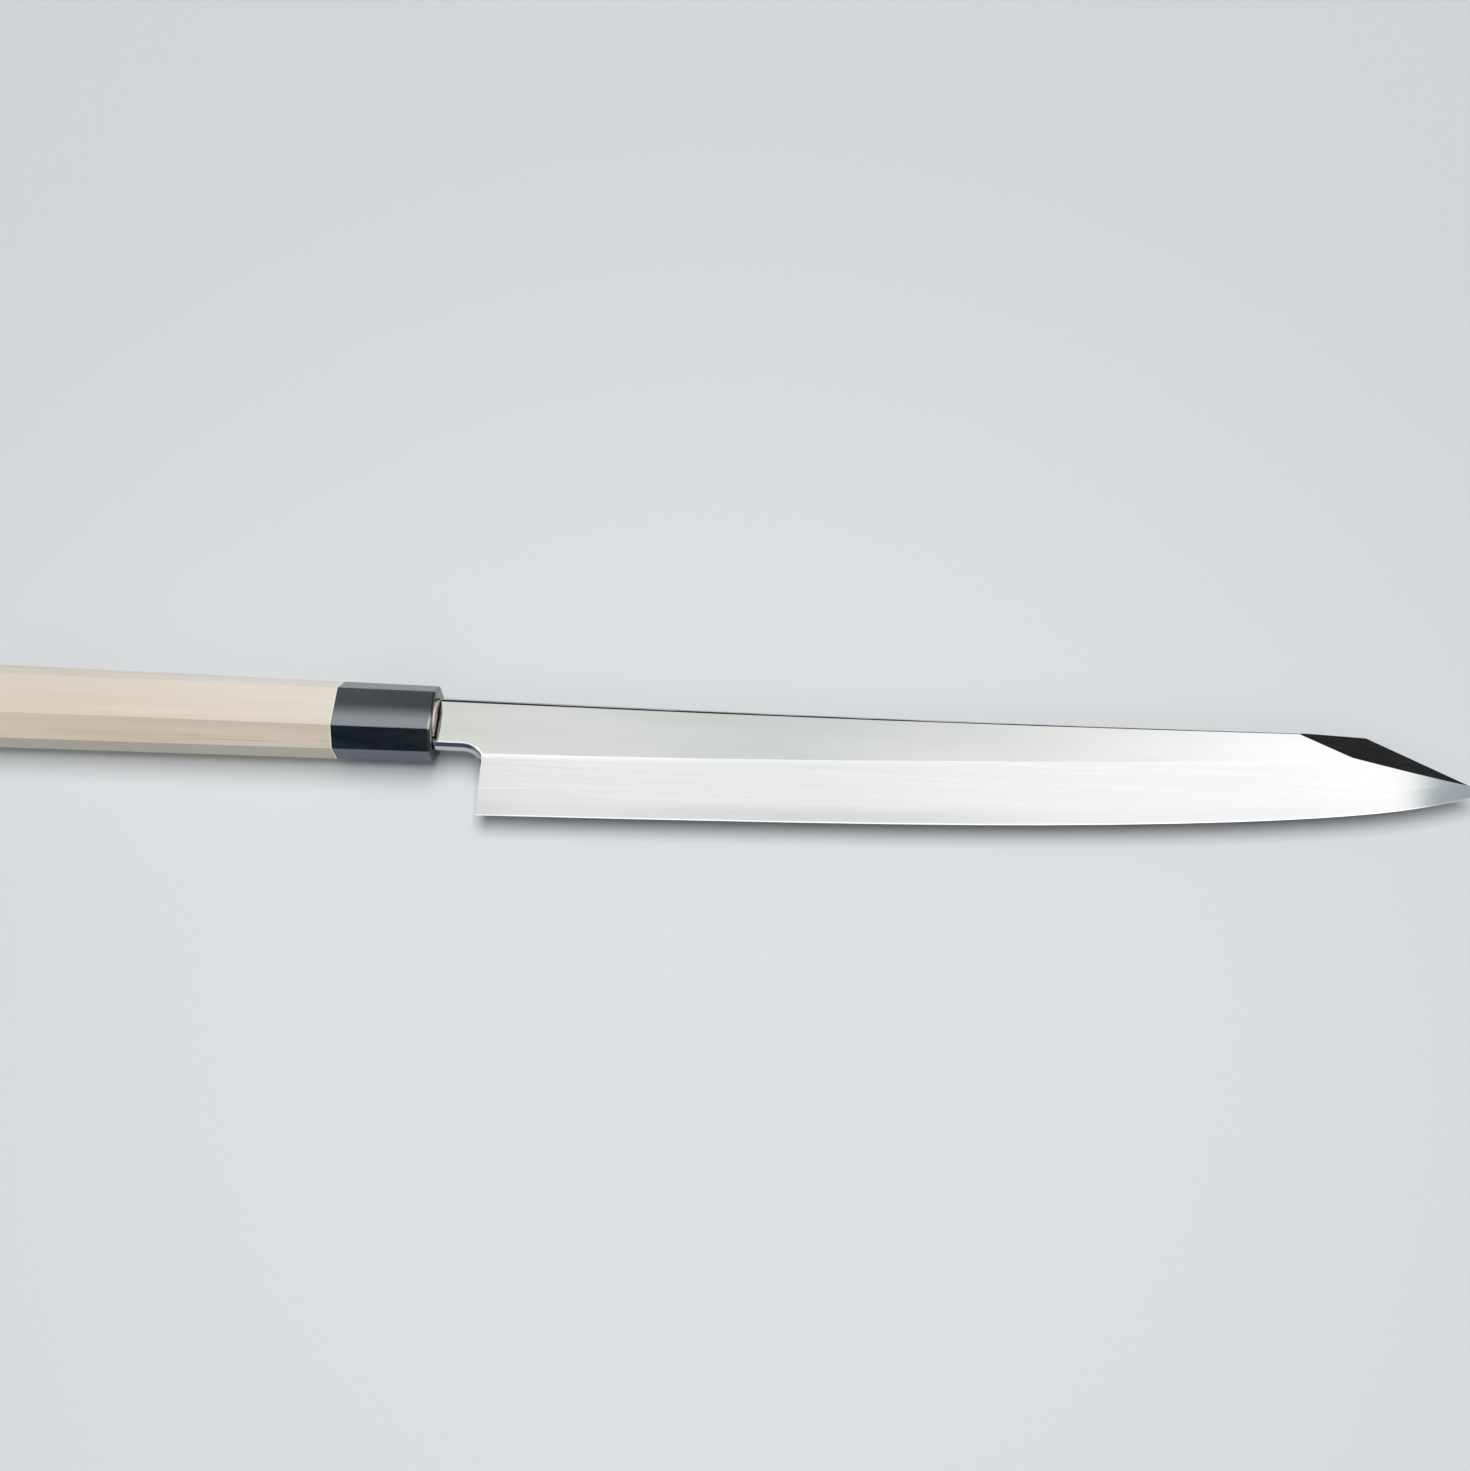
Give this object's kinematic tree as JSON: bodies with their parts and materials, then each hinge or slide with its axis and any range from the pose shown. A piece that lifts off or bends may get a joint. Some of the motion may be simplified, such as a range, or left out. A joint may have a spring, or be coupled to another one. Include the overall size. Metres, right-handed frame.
{
  "type": "yanagiba knife",
  "caption": "Long single-bevel slicing knife with a slanted point, a hollow back, a shouldered neck and an octagonal wooden handle with a horn ferrule.",
  "frame": {"origin": "bottom centre of the bounding box: the plane of the handle's lowest facet, under the middle of the knife's length and height", "axes": "+X along the knife from the butt to the tip, +Y from the cutting edge to the spine, +Z from the hollow back to the bevelled front, which lies uppermost"},
  "size_m": [0.478, 0.0438, 0.0188],
  "materials": {
    "soft_iron": "satin flat, fine lengthwise scratches on the bevel, polished spine and neck",
    "hard_steel": "fine polish, a little darker than the soft iron",
    "magnolia_wood": "bare, sanded smooth",
    "buffalo_horn": "polished black"
  },
  "bodies": {
    "root": {"blade_cladding": "soft_iron", "blade_core_steel": "hard_steel", "handle_grip": "magnolia_wood", "horn_ferrule": "buffalo_horn"}
  },
  "joints": []
}
